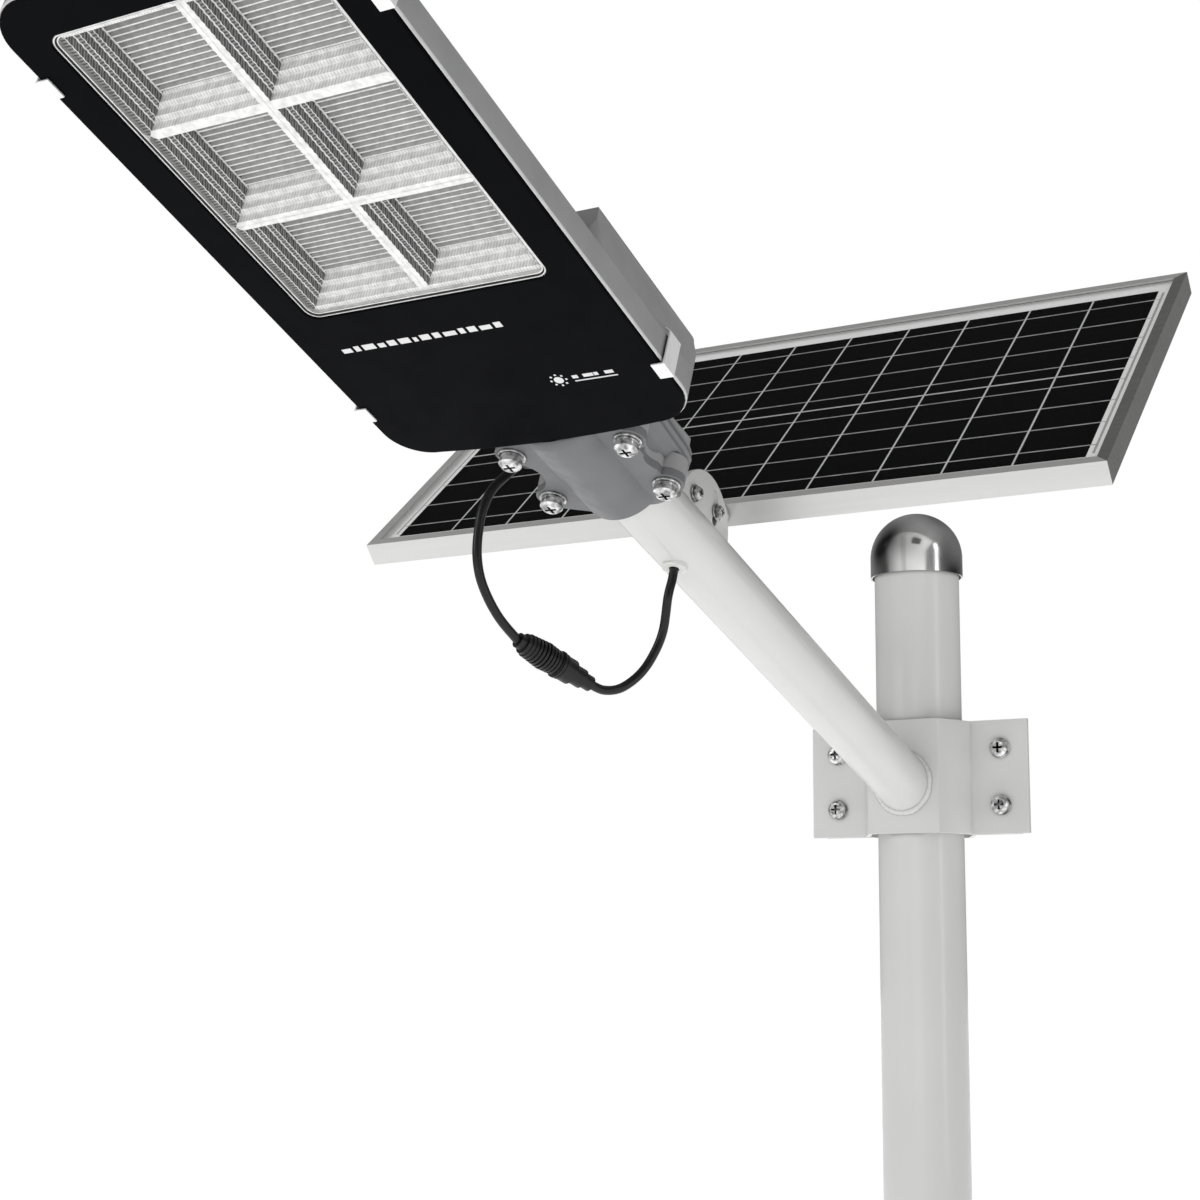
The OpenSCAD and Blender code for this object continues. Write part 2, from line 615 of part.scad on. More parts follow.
module corner_keys() color("silver") panel_frame() for (x = [0, 1], y = [0, 1])
    translate([0, y * panel_w, 0]) mirror([0, y, 0]) mirror([x, 0, 0])
        translate([-panel_len / 2 + sheet_t, sheet_t, -16]) difference() {
            cube([34, 34, 7]);
            translate([6, 6, -1]) cube([40, 40, 9]);
        }
module panel_sheet(h) translate([-panel_len / 2 + 2, 2, 0]) cube([panel_len - 4, panel_w - 4, h]);
module panel_glass() color("lightblue", 0.4) panel_frame() translate([0, 0, -4.7]) panel_sheet(3.2);
module backsheet() color("white") panel_frame() translate([0, 0, -6.4]) panel_sheet(1);
cell_w = (panel_len - 2 * cell_margin) / cell_cols;
cell_l = (panel_w - 2 * cell_top) / 2;
module solar_cells() color("#0a0a14") panel_frame() for (i = [0 : cell_cols - 1], j = [0, 1])
    translate([-panel_len / 2 + cell_margin + i * cell_w + cell_gap / 2, cell_top + j * cell_l + 0.6, -5.3])
        cube([cell_w - cell_gap, cell_l - 1.2, 0.5]);
module junction_box() color("#202020") panel_frame() translate([100, 250, -24]) difference() {
    block(72, 58, 17.6);
    translate([0, 0, -1]) block(67, 53, 16);
}
module junction_lid() color("#181818") panel_frame() translate([100, 250, -27]) block(74, 60, 2.9);
// Places in the panel's frame, with x measured from the arm's centre plane
module panel_at(x, y, z) panel_frame() translate([x - panel_x, y, z]) children();
module cross_rails() color("silver") for (x = rail_x) panel_at(x, 0, 0) difference() {
    translate([-rail_w / 2, 2, -rail_lo]) cube([rail_w, panel_w - 4, rail_lo - rail_hi]);
    translate([-rail_w / 2 + rail_wall, 1, -rail_lo + rail_wall])
        cube([rail_w - 2 * rail_wall, panel_w, rail_lo - rail_hi - 2 * rail_wall]);
    for (y = [foot_y[0], foot_y[1], panel_w - foot_y[0]]) translate([0, y, -panel_d])
        cylinder(r = small_hole, h = 6);
}
module rail_bolts() color("silver") for (x = rail_x) panel_at(x, panel_w - foot_y[0], -panel_d)
    rotate([180, 0, 0]) pan_screw(small_r, 8, 5.5, 2.4);
module rail_nuts() color("silver") for (x = rail_x) panel_at(x, panel_w - foot_y[0], -rail_lo + rail_wall)
    hex_nut(5.2, small_r, 4);
module bracket_bolts() color("silver") for (x = rail_x, y = foot_y) panel_at(x, y, -panel_d - foot_t)
    rotate([180, 0, 0]) pan_screw(small_r, foot_t + 8, 5.5, 2.4);
module bracket_nuts() color("silver") for (x = rail_x, y = foot_y) panel_at(x, y, -rail_lo + rail_wall)
    hex_nut(5.2, small_r, 4);
module bracket_spacers() color("silver") for (x = rail_x) panel_at(x, foot_y[1], -panel_d)
    ring(7, small_hole, panel_d - rail_lo);
// Cheek plate, drawn flat as (slope, height): lugs at the ear and an edge on the bridge plate
module cheek_shape() difference() {
    union() {
        translate(pivot_p) circle(10);
        translate(lock_p) circle(10);
        polygon([pivot_p + [-5.2, -8.5], pivot_p + [5.2, 8.5], lock_p + [5.2, 8.5], lock_p + [-5.2, -8.5]]);
        polygon([lock_p + [-6, -7.6], lock_p + [6, 7.6], [bridge_y, -2], [bridge_y, -10]]);
    }
    translate(pivot_p) circle(tilt_r + fit);
    translate(lock_p) circle(tilt_r + fit);
}
module tilt_bracket() color("gainsboro") panel_at(0, 0, 0) {
    translate([-cheek_x, 0, 0]) rotate([90, 0, -90]) mirror([1, 0, 0]) linear_extrude(cheek_t) cheek_shape();
    translate([0, bridge_y, 0]) rotate([90, 0, 0]) linear_extrude(foot_t) polygon([[-cheek_x, -1.5],
        [-cheek_x, -10.5], [foot_x[1], -panel_d - foot_t], [foot_x[0], -panel_d - foot_t], [foot_x[0], -1.5]]);
    difference() {
        translate([foot_x[0], bridge_y - foot_t, -panel_d - foot_t])
            cube([foot_x[1] - foot_x[0], foot_far - bridge_y + foot_t, foot_t]);
        for (x = rail_x, y = foot_y) translate([x, y, -big / 2]) cylinder(r = small_hole, h = big);
    }
}
module tilt_places() for (p = [[pivot_s, pivot_n], [lock_s, lock_n]]) arm_at(p[0], 0, p[1])
    rotate([0, 90, 0]) children();
module tilt_bolts() color("silver") tilt_places() translate([0, 0, ear_t / 2 + 0.3 + tilt_washer_t])
    pan_screw(tilt_r, 20, tilt_head, 4);
module tilt_washers() color("silver") tilt_places() translate([0, 0, ear_t / 2 + 0.3])
    ring(tilt_washer, tilt_r, tilt_washer_t);
module tilt_nuts() color("silver") tilt_places() translate([0, 0, -cheek_x - cheek_t - tilt_nut_h])
    hex_nut(tilt_nut, tilt_r, tilt_nut_h);

pole_tube();
socket_nuts();
socket_screws();
dome_cap();
cap_liner();
front_clamp();
rear_clamp();
clamp_bolts();
clamp_washers();
clamp_nuts();
arm_tube();
arm_weld();
ear_plate();
arm_grommet();
arm_lead();
cable_socket();
cable_plug();
head_housing();
neck_cover();
neck_bolts();
neck_spring_washers();
neck_flat_washers();
front_frame();
frame_gasket();
reflector_tray();
reflector_cups();
well_lenses();
led_board();
led_chips();
battery_tray();
battery_cells();
controller_board();
controller_parts();
latch_clips();
cable_gland();
lamp_lead();
frame_rail_low();
frame_rail_high();
frame_rail_left();
frame_rail_right();
corner_keys();
panel_glass();
solar_cells();
backsheet();
junction_box();
junction_lid();
cross_rails();
rail_bolts();
rail_nuts();
tilt_bracket();
bracket_bolts();
bracket_nuts();
bracket_spacers();
tilt_bolts();
tilt_washers();
tilt_nuts();
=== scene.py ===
"""Looks of the solar street lamp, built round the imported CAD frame."""
import json
import math

import bmesh
import bpy
from mathutils import Matrix, Vector

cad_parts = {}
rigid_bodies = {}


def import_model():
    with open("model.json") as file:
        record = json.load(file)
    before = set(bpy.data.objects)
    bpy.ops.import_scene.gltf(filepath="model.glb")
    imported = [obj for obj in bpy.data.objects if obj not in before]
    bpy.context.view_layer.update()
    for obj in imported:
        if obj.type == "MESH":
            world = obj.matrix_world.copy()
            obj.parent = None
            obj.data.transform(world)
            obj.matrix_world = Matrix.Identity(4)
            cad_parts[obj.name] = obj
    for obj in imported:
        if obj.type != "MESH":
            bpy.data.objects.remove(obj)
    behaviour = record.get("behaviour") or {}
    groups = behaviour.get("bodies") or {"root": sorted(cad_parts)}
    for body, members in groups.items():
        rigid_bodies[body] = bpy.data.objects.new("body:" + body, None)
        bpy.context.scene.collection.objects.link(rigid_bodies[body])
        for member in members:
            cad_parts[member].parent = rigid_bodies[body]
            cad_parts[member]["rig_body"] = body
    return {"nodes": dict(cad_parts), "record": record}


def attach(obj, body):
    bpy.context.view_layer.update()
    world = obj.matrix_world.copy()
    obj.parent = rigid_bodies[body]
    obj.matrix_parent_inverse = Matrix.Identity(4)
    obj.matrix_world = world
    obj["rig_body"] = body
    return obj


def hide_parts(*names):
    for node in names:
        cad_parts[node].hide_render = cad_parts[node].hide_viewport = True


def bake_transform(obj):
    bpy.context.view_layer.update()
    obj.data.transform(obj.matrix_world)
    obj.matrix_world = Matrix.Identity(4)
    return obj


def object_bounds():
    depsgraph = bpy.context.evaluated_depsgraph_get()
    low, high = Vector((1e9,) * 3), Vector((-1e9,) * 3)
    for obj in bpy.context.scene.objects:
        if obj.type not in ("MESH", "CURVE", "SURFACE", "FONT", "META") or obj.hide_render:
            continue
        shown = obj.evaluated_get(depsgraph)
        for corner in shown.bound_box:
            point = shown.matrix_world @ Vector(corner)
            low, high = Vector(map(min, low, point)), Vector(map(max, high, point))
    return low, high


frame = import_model()
CAD_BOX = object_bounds()
MM = 0.001

# ---------------------------------------------------------------- places
ARM_RISE = math.radians(18.6)
HEAD_RISE = math.radians(21)
PANEL_TILT = math.radians(40.4)
BRACKET_Z = 620
ARM_REACH = 630
HEAD_DROP = 28.7
ARM = Matrix.Translation((0, -41, BRACKET_Z - 6.5)) @ Matrix.Rotation(-ARM_RISE, 4, "X")


def arm_point(s, x, n):
    """A point of the arm's frame: s along the arm, x across, n up, in mm of the row frame."""
    return ARM @ Vector((x, -s, n))


HEAD = Matrix.Translation(arm_point(ARM_REACH, 0, -HEAD_DROP)) @ Matrix.Rotation(-HEAD_RISE, 4, "X")
PANEL = Matrix.Translation((-24.5, -384, 796.6)) @ Matrix.Rotation(PANEL_TILT, 4, "X")
POLE = Matrix.Identity(4)


# ---------------------------------------------------------------- camera
def make_camera():
    """The photograph's viewpoint: in front of the lamp, to its right and a little below its head."""
    azimuth, pitch, roll = math.radians(30.05), math.radians(10.09), math.radians(0.54)
    ahead = Vector((-math.sin(azimuth) * math.cos(pitch), math.cos(azimuth) * math.cos(pitch),
                    math.sin(pitch)))
    level = Vector((math.cos(azimuth), math.sin(azimuth), 0))
    above = level.cross(ahead)
    right = math.cos(roll) * level + math.sin(roll) * above
    up = math.cos(roll) * above - math.sin(roll) * level
    data = bpy.data.cameras.new("camera")
    data.lens = 61.7
    data.sensor_width = 36
    data.clip_end = 100
    camera = bpy.data.objects.new("camera", data)
    bpy.context.scene.collection.objects.link(camera)
    place = Matrix((right, up, -ahead)).transposed().to_4x4()
    place.translation = Vector((0.6734, -1.7406, 0.4532))
    camera.matrix_world = place
    bpy.context.scene.camera = camera


# ---------------------------------------------------------------- materials
ALONG_X = (0.04, 1, 1)
ALONG_Z = (1, 1, 0.03)


class Look:
    """A principled material with procedural variation of colour, roughness and surface."""

    def __init__(self, name, colour, rough, metal=0.0, **settings):
        self.material = bpy.data.materials.new(name)
        self.material.use_nodes = True
        self.tree = self.material.node_tree
        self.shader = self.tree.nodes["Principled BSDF"]
        self.colour = colour
        self.set("Base Color", (*colour, 1))
        self.set("Roughness", rough)
        self.set("Metallic", metal)
        for key, value in settings.items():
            self.set(key.replace("_", " "), value)
        self.height = None

    def set(self, socket, value):
        self.shader.inputs[socket].default_value = value

    def node(self, kind, **settings):
        made = self.tree.nodes.new(kind)
        for key, value in settings.items():
            if hasattr(made, key):
                setattr(made, key, value)
            else:
                made.inputs[key.replace("_", " ")].default_value = value
        return made

    def link(self, output, target):
        self.tree.links.new(output, target)

    def spot(self, stretch=(1, 1, 1), turn=(0, 0, 0)):
        """Object coordinates, stretched."""
        where = self.node("ShaderNodeTexCoord")
        mapping = self.node("ShaderNodeMapping")
        mapping.inputs["Scale"].default_value = stretch
        mapping.inputs["Rotation"].default_value = turn
        self.link(where.outputs["Object"], mapping.inputs["Vector"])
        return mapping.outputs["Vector"]

    def noise(self, scale, detail=3.0, stretch=(1, 1, 1), turn=(0, 0, 0)):
        made = self.node("ShaderNodeTexNoise", Scale=scale, Detail=detail)
        self.link(self.spot(stretch, turn), made.inputs["Vector"])
        return made.outputs["Fac"]

    def range(self, value, low, high):
        made = self.node("ShaderNodeMapRange")
        made.inputs["From Min"].default_value = 0.3
        made.inputs["From Max"].default_value = 0.7
        made.inputs["To Min"].default_value = low
        made.inputs["To Max"].default_value = high
        self.link(value, made.inputs["Value"])
        return made.outputs["Result"]

    def mottle(self, scale, amount, detail=4.0, stretch=(1, 1, 1), turn=(0, 0, 0)):
        """The colour wanders by the given share, in patches of 1 / scale metres."""
        mix = self.node("ShaderNodeMix", data_type="RGBA")
        dark = [max(0.0, c * (1 - amount)) for c in self.colour]
        light = [min(1.0, c * (1 + amount)) for c in self.colour]
        for socket in mix.inputs:
            if socket.name == "A" and socket.type == "RGBA":
                socket.default_value = (*dark, 1)
            if socket.name == "B" and socket.type == "RGBA":
                socket.default_value = (*light, 1)
        self.link(self.range(self.noise(scale, detail, stretch, turn), 0, 1), mix.inputs["Factor"])
        self.tint = [o for o in mix.outputs if o.type == "RGBA"][0]
        self.link(self.tint, self.shader.inputs["Base Color"])
        return self

    def scale_colour(self, share):
        mix = self.node("ShaderNodeVectorMath", operation="SCALE")
        self.link(self.tint, mix.inputs[0])
        self.link(share, mix.inputs["Scale"])
        self.tint = mix.outputs["Vector"]
        self.link(self.tint, self.shader.inputs["Base Color"])
        return self

    def paint_crevice_shade(self, reach, dark):
        """Painted shade: the colour darkens to the given share in gaps and recesses narrower than the reach in
        metres.
        """
        shade = self.node("ShaderNodeAmbientOcclusion", Distance=reach)
        shade.samples = 8
        self.link(self.tint, shade.inputs["Color"])
        depth = self.node("ShaderNodeMapRange")
        depth.inputs["From Min"].default_value = 0.25
        depth.inputs["From Max"].default_value = 0.85
        depth.inputs["To Min"].default_value = dark
        self.link(shade.outputs["AO"], depth.inputs["Value"])
        return self.scale_colour(depth.outputs["Result"])

    def painted_light_bands(self, scale, direction, low, high):
        """Painted light and shade: the colour is scaled between low and high in even bands across one direction.
        """
        level = self.node("ShaderNodeMapRange")
        level.inputs["To Min"].default_value = low
        level.inputs["To Max"].default_value = high
        self.link(self.waves(scale, direction), level.inputs["Value"])
        return self.scale_colour(level.outputs["Result"])

    def wear(self, scale, low, high, stretch=(1, 1, 1), turn=(0, 0, 0)):
        """Roughness wanders between low and high."""
        value = self.range(self.noise(scale, 3.0, stretch, turn), low, high)
        self.link(value, self.shader.inputs["Roughness"])
        return self

    def relief(self, height, depth, strength=1.0):
        """A bump of the given depth in metres, on top of those already there."""
        bump = self.node("ShaderNodeBump", Strength=strength, Distance=depth)
        self.link(height, bump.inputs["Height"])
        if self.height:
            self.link(self.height, bump.inputs["Normal"])
        self.height = bump.outputs["Normal"]
        self.link(self.height, self.shader.inputs["Normal"])
        return self

    def grain(self, scale, depth, strength=1.0, detail=2.0, stretch=(1, 1, 1), turn=(0, 0, 0)):
        return self.relief(self.noise(scale, detail, stretch, turn), depth, strength)

    def waves(self, scale, direction="X", stretch=(1, 1, 1), turn=(0, 0, 0)):
        made = self.node("ShaderNodeTexWave", Scale=scale, bands_direction=direction)
        self.link(self.spot(stretch, turn), made.inputs["Vector"])
        return made.outputs["Fac"]


def coat(name, colour, rough=0.36):
    """Smooth powder coat with a faint orange peel, and painted shade darkening its gaps and recesses."""
    look = Look(name, colour, rough, Coat_Weight=0.35, Coat_Roughness=0.12)
    # painted shade: the colour falls to 0.45 in gaps and recesses
    look.mottle(9, 0.025).paint_crevice_shade(0.006, 0.45)
    return look.wear(60, rough - 0.05, rough + 0.08).grain(900, 0.00008, 0.25).material


def cast(name, colour, rough=0.45):
    """Painted die casting: slightly pebbled, with uneven gloss, and painted shade darkening its gaps and
    recesses.
    """
    look = Look(name, colour, rough, Specular_IOR_Level=0.45)
    # painted shade: the colour falls to 0.35 in gaps and recesses
    look.mottle(35, 0.06).paint_crevice_shade(0.005, 0.35).wear(120, rough - 0.08, rough + 0.1)
    return look.grain(1400, 0.00012, 0.35).grain(60, 0.0003, 0.15).material


def bright(name, colour, rough, stretch=(1, 1, 1), metal=0.5, dark=0.5):
    """Bare or plated metal with fine drawing lines along one direction, and painted shade darkening its gaps and
    recesses to the share dark.
    """
    look = Look(name, colour, rough, metal)
    # painted shade in gaps and recesses, down to the share dark
    look.mottle(40, 0.05, 3, stretch).paint_crevice_shade(0.004, dark)
    return look.wear(300, rough * 0.75, rough * 1.35, stretch).grain(1500, 0.00004, 0.3, 2, stretch).material


def moulded(name, colour, rough, gloss=0.5):
    """Moulded plastic or rubber with a fine skin."""
    look = Look(name, colour, rough, Specular_IOR_Level=gloss)
    look.mottle(80, 0.12).wear(200, rough - 0.06, rough + 0.1)
    return look.grain(2200, 0.00005, 0.4).material


def front_black():
    look = Look("front_black", (0.0022, 0.0024, 0.0034), 0.5, Specular_IOR_Level=0.02)
    return look.mottle(14, 0.12).wear(50, 0.36, 0.5).grain(700, 0.00005, 0.12).material


def plated():
    """Bright zinc: glossy, with painted reflections as dark and light patches in its colour, and painted shade
    turning its recesses black.
    """
    look = Look("zinc", (0.62, 0.62, 0.615), 0.2, 0.7)
    # painted reflections: colour patches 70 % darker and lighter; painted shade: recesses near black
    look.mottle(230, 0.7, 1.0).paint_crevice_shade(0.004, 0.03)
    return look.wear(400, 0.14, 0.3).grain(260, 0.0006, 0.5).material


def painted_reflection_steel():
    """Polished steel with painted reflections: dark and light patches in its colour for what stood round it."""
    look = Look("polished_steel", (0.56, 0.56, 0.555), 0.12, 0.85)
    # painted reflections: the colour swings near black and near white in broad patches
    look.mottle(24, 0.95, 0.6, (1, 1, 0.8), (0.4, 0.2, 0.9))
    return look.wear(50, 0.08, 0.2).grain(1200, 0.0001, 0.3, 2, ALONG_Z).material


def reflector(name, shade, rough):
    """Vacuum-metallised plastic."""
    look = Look(name, (shade, shade, shade * 0.99), rough, 0.85)
    return look.mottle(160, 0.14).wear(400, rough * 0.8, rough * 1.3).grain(1100, 0.0001, 0.35).material


def cells():
    """Monocrystalline silicon: near black, with hair-fine fingers across the busbars."""
    look = Look("solar_black", (0.0006, 0.0006, 0.0009), 0.5, Specular_IOR_Level=0.012)
    look.mottle(22, 0.3)
    return look.relief(look.waves(210, "X"), 0.00002, 0.3).material


def panel_glass():
    look = Look("panel_glass", (0.95, 0.97, 0.97), 0.12, Specular_IOR_Level=0.01, Alpha=0.004)
    return look.wear(25, 0.1, 0.2).grain(500, 0.00003, 0.15).material


def wall(name, shade, rough=0.4, metal=0.3, bands=None):
    """Metallised moulding as seen under a flat light, at the given shade, which for the well walls paints in
    their light or shade, with fine bands of painted highlight and shade of the given share.
    """
    look = Look(name, (shade, shade, shade * 0.99), rough, metal)
    look.mottle(220, 0.16)
    # painted highlight and shade in bands across the ribs
    if bands:
        look.painted_light_bands(*bands)
    return look.wear(400, rough * 0.8, rough * 1.2).grain(1300, 0.00006, 0.3).material


def coloured(name, colour, rough, spread=0.08):
    return Look(name, colour, rough).mottle(120, spread).grain(900, 0.00006, 0.3).material


LOOKS = {
    "coated_light": coat("coated_light", (0.68, 0.68, 0.665)),
    "polished_steel": painted_reflection_steel(),
    "zinc": plated(),
    "clip_steel": bright("clip_steel", (0.9, 0.9, 0.9), 0.3, ALONG_Z, 0.2),
    "black_rubber": moulded("black_rubber", (0.02, 0.02, 0.021), 0.6, 0.35),
    "white_rubber": moulded("white_rubber", (0.78, 0.78, 0.76), 0.5),
    "cable_black": moulded("cable_black", (0.006, 0.006, 0.0065), 0.32, 0.35),
    "connector_black": moulded("connector_black", (0.007, 0.007, 0.0075), 0.36, 0.35),
    "housing_grey": cast("housing_grey", (0.33, 0.33, 0.335)),
    "neck_grey": cast("neck_grey", (0.17, 0.172, 0.178), 0.42),
    "front_black": front_black(),
    "reflector": reflector("reflector", 0.62, 0.3),
    "lens_clear": reflector("lens_clear", 0.42, 0.3),
    "board_white": coloured("board_white", (0.8, 0.8, 0.78), 0.4),
    "led_yellow": coloured("led_yellow", (0.85, 0.7, 0.2), 0.4),
    "board_green": coloured("board_green", (0.02, 0.15, 0.05), 0.35, 0.2),
    "cell_blue": coloured("cell_blue", (0.03, 0.14, 0.4), 0.3, 0.1),
    "panel_aluminium": bright("panel_aluminium", (0.66, 0.66, 0.65), 0.42, ALONG_X, 0.35),
    "panel_glass": panel_glass(),
    "solar_black": cells(),
    "backsheet_white": coloured("backsheet_white", (0.88, 0.88, 0.87), 0.5, 0.03),
}
# Lit and shaded copies of the one metallised reflector: painted shade with bands of painted highlight and shade
# on the side walls, painted light on the end walls, painted highlight on the edges and bar tops, and a
# near-black painted shadow; the floors take a darker grey.
SHADED_WELL_SIDE = wall("well_side_painted_shade", 0.2, bands=(150, "Y", 0.35, 1.6))
LIT_WELL_END = wall("well_end_painted_light", 0.8, 0.45, 0.05, (150, "X", 0.85, 1.15))
HIGHLIT_WELL_EDGE = wall("well_edge_painted_highlight", 0.85, 0.3, 0.0)
WELL_FLOOR = wall("well_floor", 0.33)
WELL_PAINTED_SHADOW = wall("well_painted_shadow", 0.05, 0.6, 0.0)
BUSBAR = coloured("busbar", (0.62, 0.62, 0.62), 0.4, 0.3)
GAP = coloured("cell_gap", (0.8, 0.8, 0.79), 0.4, 0.03)
# The white backsheet margin round the cells, with a faint glow that is painted light.
MARGIN = Look("panel_margin", (0.95, 0.95, 0.94), 0.5, Emission_Color=(1, 1, 1, 1),
              Emission_Strength=0.16).mottle(60, 0.05).grain(400, 0.0001, 0.1).material
TRIM = coloured("trim", (0.6, 0.6, 0.6), 0.35, 0.1)
# A darker copy of the panel aluminium: painted shade for the right rail.
PAINTED_SHADE_RAIL = bright("rail_painted_shade", (0.2, 0.2, 0.195), 0.45, ALONG_X, 0.2)
RIBBON = coloured("ribbon", (0.62, 0.62, 0.61), 0.4, 0.05)
PRINT = coloured("print_white", (0.75, 0.75, 0.75), 0.5, 0.05)


# ---------------------------------------------------------------- mesh helpers
class Shape:
    """Points, faces and the material index of each face."""

    def __init__(self):
        self.points, self.faces, self.tints = [], [], []

    def loop(self, points):
        first = len(self.points)
        self.points += [tuple(p) for p in points]
        return list(range(first, len(self.points)))

    def face(self, corners, tint=0):
        self.faces.append(tuple(corners))
        self.tints.append(tint)

    def band(self, a, b, tint=0):
        """Faces between two closed loops. tint may depend on the face's number."""
        for k in range(len(a)):
            m = (k + 1) % len(a)
            self.face((a[k], a[m], b[m], b[k]), tint(k) if callable(tint) else tint)

    def strips(self, loops):
        """Faces between open rows of points, from each row to the next."""
        for a, b in zip(loops, loops[1:]):
            for k in range(len(a) - 1):
                self.face((a[k], a[k + 1], b[k + 1], b[k]))

    def box(self, low, high, tint=0):
        (a, b, c), (d, e, f) = low, high
        under = self.loop([(a, b, c), (d, b, c), (d, e, c), (a, e, c)])
        over = self.loop([(a, b, f), (d, b, f), (d, e, f), (a, e, f)])
        self.band(under, over, tint)
        self.face(under[::-1], tint)
        self.face(over, tint)

    def build(self, name, place, looks, body, stands_for=(), angle=30):
        """A piece from points in mm in one of the frames above. Each tint is a number in looks."""
        data = bpy.data.meshes.new(name)
        data.from_pydata([place @ Vector(p) * MM for p in self.points], [], self.faces)
        made = new_object(name, data, [LOOKS[k] if isinstance(k, str) else k for k in looks])
        data.polygons.foreach_set("material_index", self.tints)
        shape = bmesh.new()
        shape.from_mesh(data)
        bmesh.ops.recalc_face_normals(shape, faces=shape.faces)
        shape.to_mesh(data)
        shape.free()
        return finish_piece(round_off(made, angle), body, stands_for)


def rounded(w, l, radius, n, centre=(0, 0), steps=6):
    """A round-cornered rectangle's points, w across and l along, at height n."""
    points = []
    for cx, cy, turn in ((1, 1, 0), (-1, 1, 90), (-1, -1, 180), (1, -1, 270)):
        for k in range(steps + 1):
            angle = math.radians(turn + 90 * k / steps)
            points.append((centre[0] + cx * (w / 2 - radius) + radius * math.cos(angle),
                           centre[1] + cy * (l / 2 - radius) + radius * math.sin(angle), n))
    return points


def new_object(name, data, materials):
    for material in materials:
        data.materials.append(material)
    made = bpy.data.objects.new(name, data)
    bpy.context.scene.collection.objects.link(made)
    return made


def round_off(made, angle=30):
    """Smooth shading, with edges sharper than the angle kept."""
    made.data.shade_smooth()
    made.data.set_sharp_from_angle(angle=math.radians(angle))
    return made


def finish_piece(made, body, stands_for=()):
    """Ties a piece to its body and hides the CAD nodes it stands for."""
    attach(made, body)
    if stands_for:
        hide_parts(*stands_for)
    return made


SLOTS = {s["node"]: s["material_slot"] for s in frame["record"]["subparts"]}
# The right rail takes the darker copy of its material, as painted shade.
SHADED = {"frame_rail_right": PAINTED_SHADE_RAIL}


def soften(node, width, segments=3, angle=28, merge=0.4):
    """Stands for a CAD node: the same solid, with its edges rounded by width mm."""
    source = frame["nodes"][node]
    shape = bmesh.new()
    shape.from_mesh(source.data)
    bmesh.ops.remove_doubles(shape, verts=shape.verts, dist=1e-6)
    bmesh.ops.dissolve_limit(
        shape, angle_limit=math.radians(merge), verts=shape.verts, edges=shape.edges, delimit={"NORMAL"}
    )
    data = bpy.data.meshes.new(node + "_soft")
    shape.to_mesh(data)
    shape.free()
    slot = SLOTS[node]
    made = new_object(node + "_soft", data, [SHADED.get(node, LOOKS[slot])])
    bevel = made.modifiers.new("edges", "BEVEL")
    bevel.width = width * MM
    bevel.segments = segments
    bevel.limit_method = "ANGLE"
    bevel.angle_limit = math.radians(angle)
    bevel.harden_normals = True
    round_off(made)
    return finish_piece(made, frame["nodes"][node]["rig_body"], [node])


# Edge radius in mm of each softened node.
SOFT = {"head_housing": 1.6, "neck_cover": 1.8, "front_frame": 0.7, "front_clamp": 1.4, "rear_clamp": 1.4,
        "ear_plate": 0.7, "tilt_bracket": 0.8, "latch_clips": 0.3, "clamp_bolts": 0.7, "neck_bolts": 0.7,
        "tilt_bolts": 0.5, "clamp_washers": 0.3, "neck_flat_washers": 0.3, "neck_spring_washers": 0.25,
        "clamp_nuts": 0.5, "tilt_washers": 0.25, "cable_gland": 0.4, "cable_plug": 0.3, "cable_socket": 0.3,
        "frame_rail_low": 0.35, "frame_rail_high": 0.35, "frame_rail_left": 0.35, "frame_rail_right": 0.35,
        "pole_tube": 0.4, "arm_grommet": 0.6, "junction_box": 1.0, "junction_lid": 1.0}


# ---------------------------------------------------------------- cords
CABLE = 6.5
LAMP_ROUTE = [arm_point(575, -53.8, -7), arm_point(575, -56.8, -7), (-60.5, -595, 783),
              (-66, -608, 769), (-69, -615, 754), (-71, -617, 738), (-71, -618, 722),
              (-70, -615, 707), (-68, -607, 693), (-66, -595, 681), (-63, -579, 670)]
ARM_ROUTE = [(-40, -520, 645.5), (-36, -508, 642.5), (-29, -496, 645), (-20, -486, 655),
             (-13, -479, 669), (-7, -475, 687), arm_point(446, -1, -48), arm_point(446, 0, -34),
             arm_point(446, 0, -23)]


def smooth_route(route, steps):
    """Catmull-Rom points through the route, in metres, ends included."""
    points = [Vector(p) * MM for p in route]
    made = []
    for i in range(len(points) - 1):
        a, b, c, d = (points[max(0, min(len(points) - 1, i + k))] for k in (-1, 0, 1, 2))
        for k in range(steps):
            t = k / steps
            made.append(0.5 * (2 * b + (c - a) * t + (2 * a - 5 * b + 4 * c - d) * t * t
                               + (3 * b - a - 3 * c + d) * t ** 3))
    return made + [points[-1]]


def tube(name, path, radius, look, sides=20):
    """A mesh tube along a path, its rings turned as little as possible."""
    rings, side = [], None
    for i, p in enumerate(path):
        ahead = (path[min(i + 1, len(path) - 1)] - path[max(i - 1, 0)]).normalized()
        side = ahead.orthogonal().normalized() if side is None else (side - side.dot(ahead) * ahead).normalized()
        other = ahead.cross(side)
        rings.append([p + radius * (math.cos(w) * side + math.sin(w) * other)
                      for w in (2 * math.pi * k / sides for k in range(sides))])
    points = [p for ring in rings for p in ring]
    faces = [(i * sides + k, i * sides + (k + 1) % sides, (i + 1) * sides + (k + 1) % sides, (i + 1) * sides + k)
             for i in range(len(rings) - 1) for k in range(sides)]
    faces += [tuple(range(sides))[::-1], tuple(len(points) - sides + k for k in range(sides))]
    data = bpy.data.meshes.new(name)
    data.from_pydata(points, [], faces)
    return round_off(new_object(name, data, [LOOKS[look]]), 50)


